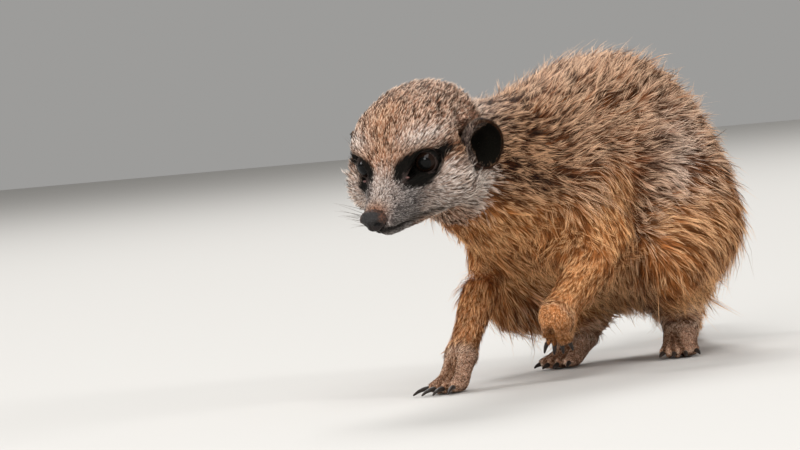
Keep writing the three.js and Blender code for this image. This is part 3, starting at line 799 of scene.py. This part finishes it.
for name, side in SIDES.items():
    turns = np.arange(LID_STEPS) / LID_STEPS * 2 * math.pi
    edge_back, edge_up = opening(turns)
    edge_out = skin_under(edge_back * BESIDE_EDGE, edge_up * BESIDE_EDGE, side) - 0.6
    corner = fade(0.75, 1.0, -np.cos(turns))
    bm = bmesh.new()
    rings = []
    for scale, rise in zip(LID_SCALES, LID_RISES):
        backs, ups = edge_back * scale, edge_up * scale
        ball = np.sqrt(np.maximum(EYE_RADIUS**2 - backs**2 - ups**2, 0)) + rise
        hide = skin_under(backs, ups, side) + (rise - 0.5)
        blend = fade(1.12, 1.5, scale)
        ring_out = np.where(scale > 1.05, np.maximum(ball * (1 - blend) + hide * blend, hide), ball)
        ring_out = ring_out * (1 - corner) + np.maximum(ring_out, edge_out + rise) * corner
        rings.append([bm.verts.new(place) for place in from_eye(backs, ups, ring_out, side)])
    join(bm, rings)
    soft = [v for ring in rings[1:-1] for v in ring]
    bmesh.ops.smooth_vert(bm, verts=soft, factor=0.3, use_axis_x=True, use_axis_y=True, use_axis_z=True)
    lid = mesh_piece(f"eyelid_{name}", bm, lid_finish)
    round_off(lid, 1)
    bm = bmesh.new()
    bmesh.ops.create_icosphere(bm, subdivisions=3, radius=1.0)
    lump = shape_of(bm) * (0.85, 0.45, 0.5)
    corner_back, corner_up = opening(np.array(math.pi))
    corner_out = skin_under(corner_back * BESIDE_EDGE, corner_up * BESIDE_EDGE, side)
    put(bm, from_eye(*(lump + (corner_back + 1.3, corner_up + 0.35, corner_out - 0.8)).T, side))
    mesh_piece(f"eye_corner_{name}", bm, flesh_finish)

# ------------------------ the ears
# Small round cups set low on the sides of the head, open outwards and forwards. They are black inside, and
# their rims and backs wear short dark fur.
EAR_PLACE = np.array((10.5, 26.4, -4.6))
EAR_WIDE, EAR_HIGH = 8.8, 10.9
EAR_TURN = math.radians(40)
EAR_ALONG = np.array((math.cos(EAR_TURN), math.sin(EAR_TURN), 0))
EAR_OUT = np.array((-math.sin(EAR_TURN), math.cos(EAR_TURN), 0))
# Share of the ear's half width, and millimetres outwards, from the middle of the back round the rim and in.
EAR_R = (0.0, 0.45, 0.78, 0.94, 1.0, 0.99, 0.93, 0.86, 0.80, 0.70, 0.52, 0.28, 0.0)
EAR_H = (-5.0, -4.7, -3.4, -1.2, 1.2, 2.6, 3.3, 3.0, 1.8, -0.2, -2.2, -3.4, -3.8)
EAR_STEPS, EAR_EDGE = 40, 6

ear_finish = Finish("ear_skin", Roughness=0.9, Specular_IOR_Level=0.04)
ear_grain = ear_finish.noise(1500.0, 4.0)
ear_finish.feed(hair_colour(ear_finish, ear_grain, ear_grain * 0.7))
ear_finish.relief(ear_grain, 0.0004, 0.6)
ears = {}
for name, side in SIDES.items():
    bm = bmesh.new()
    profile = [bm.verts.new((r, 0, h)) for r, h in zip(EAR_R, EAR_H)]
    lines = [bm.edges.new(pair) for pair in zip(profile, profile[1:])]
    whole_turn = dict(cent=(0, 0, 0), axis=(0, 0, 1), angle=2 * math.pi, steps=EAR_STEPS, use_merge=True)
    bmesh.ops.spin(bm, geom=profile + lines, **whole_turn)
    bmesh.ops.remove_doubles(bm, verts=bm.verts, dist=1e-5)
    local = shape_of(bm)
    r, h = np.hypot(local[:, 0], local[:, 1]), local[:, 2]
    turn = np.arctan2(local[:, 1], local[:, 0])
    rim = fade(0.72, 0.97, r)
    # The rim flares at the top and back and dips at the notch, low in front.
    notch = bump(np.angle(np.exp(1j * (turn + 2.3))), 0.42)
    h = h + rim * (0.9 * np.sin(turn) + 0.5 * np.cos(turn) - 1.8 * notch)
    inner = abs(local[:, 2] - np.interp(r, EAR_R[:EAR_EDGE:-1], EAR_H[:EAR_EDGE:-1])) < 0.2
    h = h + inner * 1.5 * bump(r - 0.52, 0.10) * fade(-0.4, 0.6, np.cos(turn - 0.5))
    fore = fade(0.05, 0.55, np.cos(turn - math.radians(150)))
    fold = bump(r - 0.66, 0.09) * fore * inner
    h = h + 1.5 * fold + 1.3 * fade(0.62, 0.86, r) * fade(0.2, 0.9, np.cos(turn - math.radians(165)))
    wide = local[:, 0] * EAR_WIDE * (1 - 0.14 * fade(0.2, -1.0, local[:, 1]))
    place = EAR_PLACE + np.outer(wide, EAR_ALONG) + np.outer(h, EAR_OUT)
    place[:, 2] += local[:, 1] * EAR_HIGH
    put(bm, out_of_head(place * (1, side, 1)) * MM)
    ear = mesh_piece(f"ear_{name}", bm, ear_finish)
    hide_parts(f"{name}_ear")
    front = fade(0.1, -0.7, np.cos(turn)) * (1 - inner)
    band = fore * fade(0.50, 0.60, r) * inner
    zero, black = np.zeros(len(local)), np.where(inner, 1.0 - 0.62 * band, 0.75 - 0.5 * front)
    worn = np.stack([0.9 * fold, zero, zero + 1, zero, 0.6 * np.maximum(band, front), black], 1)
    wear(ear.data, worn)
    ears[name] = dict(mesh=ear.data, bare=inner & (band < 0.5), marks=worn)

# ------------------------ the nose
# A bare leathery pad at the end of the muzzle, with two comma-shaped nostrils and a groove between them that
# runs down to the lip. Its lower half, the groove and the nostrils are painted near black as painted shade.
NOSE_SIZE = np.array((4.0, 5.8, 4.6))
NOSE_RISE = np.array((0.4, 0, 0.5))
NOSTRIL, NOSTRIL_TAIL = unit((-0.76, 0.58, -0.22)), unit((-0.42, 0.84, -0.40))

nose_finish = Finish("nose_leather", Roughness=0.5, Specular_IOR_Level=0.25)
nose_grain = nose_finish.noise(1700.0, 5.0)
nose_place = nose_finish.node("TexCoord", {}, output="Object")
nose_cells = nose_finish.node("TexVoronoi", {}, Vector=nose_place, Scale=1500.0)
inside, edge_share, low = nose_finish.attribute("nose")
nose_colour = nose_finish.mix(nose_grain, (0.006, 0.005, 0.005), (0.026, 0.022, 0.021))
# The pad's sides and top are mottled orange-brown.
orange_brown_edge = nose_finish.mix(nose_grain.between(0.35, 0.65), (0.014, 0.008, 0.006), (0.130, 0.052, 0.028))
nose_colour = nose_finish.mix(edge_share * 0.8, nose_colour, orange_brown_edge)
# Painted shade: the lower half of the pad and its groove are painted near black.
nose_colour = nose_finish.mix(low * 0.85, nose_colour, (0.012, 0.006, 0.005))
# Painted shade: the nostrils are painted near black inside.
nose_finish.feed(nose_finish.mix(inside, nose_colour, (0.003, 0.002, 0.002)))
nose_finish.relief(nose_cells + nose_grain, 0.0004, 0.8)
bm = bmesh.new()
bmesh.ops.create_uvsphere(bm, u_segments=56, v_segments=40, radius=1.0)
way = shape_of(bm)
mirror = mirrored(way)
hole = spot(mirror, NOSTRIL, width=0.30)
comma = spot(mirror, NOSTRIL_TAIL, width=0.26)
groove = bump(way[:, 1], 0.085) * fade(0.25, -0.25, way[:, 2]) * fade(-0.2, -0.6, way[:, 0])
wing = spot(mirror, unit((-0.75, 0.62, 0.12)), width=0.30)
flat_top = spot(way, unit((-0.5, 0, 0.85)), width=0.45)
grow_by = 1 - 0.45 * hole - 0.30 * comma - 0.16 * groove + 0.08 * wing - 0.07 * flat_top
form = way * NOSE_SIZE * grow_by[:, None]
form[:, 1] *= 1 - 0.28 * fade(0.1, -1.0, way[:, 2])
nose_at = in_head([middle("nose") / MM])[0] + NOSE_RISE
put(bm, out_of_head(nose_at + form) * MM)
nose = mesh_piece("nose_pad", bm, nose_finish)
side_edge = fade(0.55, 0.85, mirror[:, 1]) * fade(-0.75, -0.3, way[:, 2])
top_edge = fade(0.62, 0.85, way[:, 2]) * fade(-0.40, -0.10, way[:, 0])
# The lower half and the groove, for the painted shade under the pad.
shaded_lower = np.maximum(fade(-0.15, -0.5, way[:, 2]), groove)
nose_parts = [fade(0.22, 0.6, hole + 0.7 * comma), np.maximum(side_edge, top_edge), shaded_lower]
mark(nose.data, "nose", np.stack(nose_parts, 1))
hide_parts("nose")

# ------------------------ the claws
# Sixteen slim horn claws, each rooted in the end of its toe, black and a little glossy.
claw_nodes = [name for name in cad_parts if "_claw_" in name]
claw_finish = Finish("claw_horn", Roughness=0.4, Specular_IOR_Level=0.25)
horn = claw_finish.noise(500.0, stretch=(1.0, 1.0, 0.3))
claw_finish.feed(claw_finish.mix(horn, (0.008, 0.006, 0.005), (0.040, 0.028, 0.022)))
claw_finish.relief(horn, 0.0002, 0.4)
claws = mesh_piece("claws", copy_of(*claw_nodes), claw_finish)
round_off(claws, 2)
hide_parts(*claw_nodes)

# ------------------------ the coat
# Hair over the whole skin, each hair a thin pointed blade. Hairs gather into tufts that close towards their
# tips and lie along the body. It is made as joined meshes, one for each region.
SEED = 7
dice = np.random.default_rng(SEED)
GUIDE_STEPS = 3
TUFT_REACH, CLUMP = 4.0, 7
LOOSE_SHARE, GUARD_SHARE = 0.07, 0.42
FLOOR_GAP, RISE_CURVE = 0.4, 0.55
BLADE = np.array((0.75, 1.0, 0.72, 0.0))
BAKE_PATCH = 0.003
CROWD_SHARE = 1.0


def grow(mesh, places, normals, lie, coat, marks):
    """Hairs on a hide: the course of each, its blade's sides and facing, and its tuft's markings."""
    mesh.calc_loop_triangles()
    triangles = read(mesh.loop_triangles, "vertices", 3, np.int32)
    tree = tree_of(places)
    course, course_normal = [places], [normals]
    here, way = places, lie
    for _ in range(GUIDE_STEPS):
        ahead = here + way * (coat[LENGTH] / GUIDE_STEPS)[:, None]
        near = nearest(tree, ahead)
        lift = np.sum((ahead - places[near]) * normals[near], 1, keepdims=True)
        here = ahead - normals[near] * lift
        way = unit(0.5 * way + 0.5 * lie[near])
        course.append(here)
        course_normal.append(normals[near])
    course, course_normal = np.stack(course, 1), np.stack(course_normal, 1)

    corner = places[triangles]
    area = np.linalg.norm(np.cross(corner[:, 1] - corner[:, 0], corner[:, 2] - corner[:, 0]), axis=1) / 2
    crowd = coat[CROWD][triangles].mean(1) * area * CROWD_SHARE
    hairs = int(crowd.sum())
    picks = (np.arange(hairs) + dice.random(hairs)) / hairs * crowd.sum()
    chosen = np.minimum(np.searchsorted(np.cumsum(crowd), picks), len(triangles) - 1)
    shares, feet = dice.dirichlet((1, 1, 1), hairs), triangles[chosen]

    def at_root(values):
        return np.sum(values[feet] * shares.reshape(shares.shape + (1,) * (values.ndim - 1)), 1)

    # Some hairs lead a tuft, and each other hair follows the nearest of them.
    roots = at_root(places)
    leaders = np.flatnonzero(dice.random(hairs) < 1 / at_root(coat[TUFT]))
    leader = leaders[nearest(tree_of(roots[leaders]), roots)]
    far = np.linalg.norm(roots - roots[leader], axis=1) > TUFT_REACH
    leader[far] = np.flatnonzero(far)

    # Tufts gather loosely into clumps. Some tufts are of long guard hair and the rest, below them, of wool.
    heads = leaders[dice.random(len(leaders)) < 1 / CLUMP]
    clump = heads[nearest(tree_of(roots[heads]), roots)]
    furry = fade(5.0, 8.5, at_root(coat[LENGTH]))
    guard = (dice.random(hairs) < GUARD_SHARE)[leader]
    size = (0.80 + 0.4 * dice.random(hairs))[leader] * (0.80 + 0.34 * dice.random(hairs))
    size *= np.where(guard, 1.0 + 0.08 * furry, 1.0 - 0.36 * furry)
    loose = dice.random(hairs) < LOOSE_SHARE
    straggly = loose * fade(3.0, 4.6, at_root(coat[DEPTH]))
    size *= 1 + 0.35 * straggly
    length = at_root(coat[LENGTH]) * size
    rise = at_root(coat[LIFT]) * (0.6 + 0.8 * dice.random(hairs))[leader] * (0.8 + 0.4 * dice.random(hairs))
    # Tips end about where the coat does, and only the loose hairs stand out of it.
    top = (at_root(coat[DEPTH]) * 0.92 + 0.7) * (1 + 0.6 * straggly)
    rise = np.minimum(rise, top / length) * np.where(guard, 1.0, 1.0 - 0.10 * furry)
    swing = np.clip(length / 10, 0.36, 1.0)[:, None]
    loosely, tightly, own = (dice.normal(size=(hairs, 3)) for _ in range(3))
    sway = swing * (0.10 * loosely[clump] + 0.17 * tightly[leader] + 0.07 * own)
    path, facing = at_root(course), unit(at_root(course_normal))
    sway = sway - 0.72 * facing[:, 0] * np.sum(sway * facing[:, 0], 1, keepdims=True)
    share = np.linspace(0, 1, GUIDE_STEPS + 1)[:, None]
    # A hair that stands up reaches less far along the skin.
    lean = np.sqrt(np.clip(1 - rise**2, 0.15, 1))
    path = roots[:, None] + (path - roots[:, None]) * (size * lean)[:, None, None]
    height = share * (1 + RISE_CURVE - RISE_CURVE * share)
    path += facing * (length * rise)[:, None, None] * height
    path += sway[:, None] * length[:, None, None] * share**1.5
    close = at_root(coat[CLOSE]) * (0.7 + 0.3 * dice.random(hairs)) * np.where(loose, 0.3, 1.0)
    path += (path[leader] - path) * close[:, None, None] * share**1.3
    path[..., 2] = np.maximum(path[..., 2], FLOOR_GAP)

    tone = 0.40 * dice.random(hairs) + 0.36 * dice.random(hairs)[leader] + 0.24 * dice.random(hairs)[clump]
    tone = (tone - 0.5) * (2.4 - 0.8 * furry) + 0.5 + np.where(guard, 0.08, -0.10) * furry
    tone = np.clip(tone + at_root(marks)[:, :3] @ (0.14, 0, -0.16), 0, 1)
    twist = dice.uniform(-0.9, 0.9, hairs)[:, None, None]
    along = unit(np.gradient(path, axis=1))
    flat_side = unit(np.cross(along, facing))
    side = flat_side * np.cos(twist) + np.cross(flat_side, along) * np.sin(twist)
    return dict(
        path=path,
        side=side,
        facing=unit(np.cross(side, along) * 0.45 + facing),
        girth=at_root(coat[WIDTH]) * (0.7 + 0.6 * dice.random(hairs)),
        tone=tone,
        reach=np.where(guard, 1.0, 1.0 - 0.40 * furry),
        marks=at_root(marks)[leader],
        home=roots[leader],
        home_facing=facing[leader, 0],
        foot=feet[:, 0],
    )


def unwrap(place, face):
    """Places on an unwrap of the skin: six flat views of it side by side, one for each way of facing."""
    axis = np.argmax(abs(face), 1)
    front = np.take_along_axis(face, axis[:, None], 1)[:, 0] > 0
    low, high = place.min(0), place.max(0)
    flat = (place - low) / np.maximum(high - low, 1e-6)
    first = np.where(axis == 0, flat[:, 1], flat[:, 0])
    second = np.where(axis == 2, flat[:, 1], flat[:, 2])
    return np.stack([(axis + 0.01 + 0.97 * first) / 3, (front + 0.01 + 0.97 * second) / 2], 1)


def blades(name, hair, take, steps, finish):
    """One mesh of all the hairs taken, each a blade with the given steps of its course."""
    taken = np.flatnonzero(take)
    number, rings, steps = len(taken), len(steps) - 1, list(steps)
    share = np.array(steps) / GUIDE_STEPS
    centre = hair["path"][taken][:, steps]
    side = hair["side"][taken][:, steps] * (hair["girth"][taken, None] * BLADE[steps] / 2)[..., None]
    facing = hair["facing"][taken][:, steps]
    pairs = np.stack([centre - side, centre + side], 2)[:, :rings].reshape(number, 2 * rings, 3)
    places = np.concatenate([pairs, centre[:, rings:]], 1)
    faces = np.concatenate([np.repeat(facing[:, :rings], 2, 1), facing[:, rings:]], 1)
    along = np.append(np.repeat(share[:rings], 2), 1.0)
    each = 2 * rings + 1
    strip = [i for k in range(rings - 1) for i in (2 * k, 2 * k + 1, 2 * k + 3, 2 * k + 2)]
    strip += [2 * rings - 2, 2 * rings - 1, 2 * rings]
    loops = (np.arange(number)[:, None] * each + np.array(strip)).ravel()
    starts = (np.arange(number)[:, None] * len(strip) + 4 * np.arange(rings)).ravel()

    mesh = bpy.data.meshes.new(name)
    mesh.vertices.add(number * each)
    mesh.vertices.foreach_set("co", (places * MM).astype(np.float32).ravel())
    mesh.loops.add(len(loops))
    mesh.loops.foreach_set("vertex_index", loops.astype(np.int32))
    mesh.polygons.add(len(starts))
    mesh.polygons.foreach_set("loop_start", starts.astype(np.int32))
    mesh.update(calc_edges=True)

    here = unwrap(hair["home"][taken], hair["home_facing"][taken])
    tone = hair["tone"][taken]
    patch = np.stack(np.broadcast_arrays(tone[:, None], along[None]), 2) * BAKE_PATCH
    uv = (here[:, None] + patch).reshape(-1, 2)
    layer = mesh.uv_layers.new(name="OFBake")
    layer.data.foreach_set("uv", uv[loops].astype(np.float32).ravel())
    strand = np.zeros((number, each, 3))
    strand[..., 0], strand[..., 1] = tone[:, None], along * hair["reach"][taken, None]
    mark(mesh, "strand", strand)
    wear(mesh, np.repeat(hair["marks"][taken], each, 0))
    mesh.normals_split_custom_set_from_vertices(faces.reshape(-1, 3).astype(np.float32))
    piece_of(name, mesh, finish)


fur = Finish("fur", Roughness=0.62, Specular_IOR_Level=0.06)
fur_tone, fur_along, _ = fur.attribute("strand")
fur.feed(hair_colour(fur, fur_tone, fur_along))

# No hair grows in the eyes' openings or under the nose pad.
eye_open = (lid_share(back, up) < 1.22) & head
under_nose = np.linalg.norm((q - nose_at) / (4.2, 5.6, 4.8), axis=1) < 1.0
coat[CROWD] = np.where(eye_open | under_nose, 0.0, coat[CROWD]) * (1 - 0.95 * between_toes)
hair = grow(skin_mesh, points, normals, lie, coat, marks)
hair_kind, hair_node = kinds[hair["foot"]], nodes[hair["foot"]]
hair_x = hair["home"][:, 0]
in_front = in_head(hair["home"])[:, 0] < -8
TRUNK_PARTS = {"shoulders": (-200, -48), "back": (-48, -8), "loins": (-8, 26), "rump": (26, 300)}
FULL, SHORT = (0, 1, 2, 3), (0, 2, 3)
regions = {
    "face": ((hair_kind == "head") & in_front, SHORT, "face_coat"),
    "crown": ((hair_kind == "head") & ~in_front, FULL, "face_coat"),
    "neck": (hair_kind == "neck", FULL, "body_coat"),
    "tail": (np.char.startswith(hair_kind, "tail"), FULL, "tail_tip_coat"),
}
for region, (start, end) in TRUNK_PARTS.items():
    regions[region] = ((hair_kind == "trunk") & (hair_x >= start) & (hair_x < end), FULL, "body_coat")
short_haired = np.isin(hair_kind, ("paw", "foot"))
for limb, parts in LIMBS.items():
    on_limb = np.char.startswith(hair_node, limb)
    regions[limb] = (on_limb & ~short_haired, FULL, "body_coat")
    regions[f"{limb}_{parts[-1]}"] = (on_limb & short_haired, SHORT, "paw_coat")
for region, (take, steps, slot) in regions.items():
    blades(f"coat_{region}", hair, take, steps, fur)

# Short hair over the backs and rims of the ears.
EAR_COAT = (0.3, 2.4, 0.16, 0.22, 9.0, 4, 0.4)
EAR_LIE = unit((0.7, 0, 0.7)) @ to_head.T
for name in SIDES:
    mesh = ears[name]["mesh"]
    ear_points = read(mesh.vertices, "co", 3).astype(float) / MM
    ear_normals = read(mesh.vertex_normals, "vector", 3).astype(float)
    ear_lie = unit(along_hide(EAR_LIE, ear_normals) + 1e-3)
    ear_coat = {column: np.full(len(ear_points), float(value)) for column, value in enumerate(EAR_COAT)}
    ear_coat[CROWD][ears[name]["bare"]] = 0.0
    ear_hair = grow(mesh, ear_points, ear_normals, ear_lie, ear_coat, ears[name]["marks"])
    blades(f"coat_ear_{name}", ear_hair, np.ones(len(ear_hair["tone"]), bool), SHORT, fur)

# ------------------------ the whiskers
# Stiff tapering hairs in rows on the pads of the upper lip, with a few over each eye. Each is a thin
# four-sided spike, rooted in the skin.
WHISKER_RINGS = 8
WHISKER_GIRTH = 0.13
WHISKER_CORNERS = np.array(((1, 0, 0), (0, 0, 1), (-1, 0, 0), (0, 0, -1)))
# Root: along the muzzle, out from its middle and up, then length, all in millimetres in the head's frame.
WHISKERS = [
    (x, y, z, 15 + 2.2 * row + 1.6 * column)
    for row, (y, z) in enumerate(((6.0, -16.4), (6.8, -14.6), (6.6, -12.6)))
    for column, x in enumerate((-39.5, -37.0, -34.5, -32.0))
] + [(-22.0, 12.5, 9.0, 12.0), (-20.0, 14.5, 9.0, 13.0)]

whisker_finish = Finish("whisker", Roughness=0.45, Specular_IOR_Level=0.4)
whisker_tint = whisker_finish.attribute("strand")[1]
whisker_colour = whisker_finish.mix(whisker_tint, (0.020, 0.014, 0.011), (0.170, 0.130, 0.105))
whisker_finish.feed(whisker_colour)
q = in_head(points)
head_tree = tree_of(q)
bm = bmesh.new()
tints = []
for side in SIDES.values():
    for x, y, z, length in WHISKERS:
        foot = np.array((x, y * side, z)) + dice.normal(size=3) * 0.25
        foot = q[nearest(head_tree, [foot])[0]]
        out = np.array((0.35, side * (0.9 + 0.2 * dice.random()), 0.10 + 0.025 * (z + 14.5)))
        out = unit(out + dice.normal(size=3) * 0.06)
        bend = np.array((0.30, 0, -0.25)) * length
        rings = []
        for i in range(WHISKER_RINGS):
            t = i / (WHISKER_RINGS - 1)
            centre = foot + out * (length * t - 0.8) + bend * t**2 * 0.7
            girth = WHISKER_GIRTH * (1 - 0.92 * t)
            ring = centre + girth * WHISKER_CORNERS
            rings.append([bm.verts.new(p) for p in out_of_head(ring) * MM])
            tints += [(0, t, 0)] * 4
        join(bm, rings)
        bm.faces.new(rings[0])
        bm.faces.new(rings[-1])
whiskers = mesh_piece("whiskers", bm, whisker_finish)
mark(whiskers.data, "strand", tints)
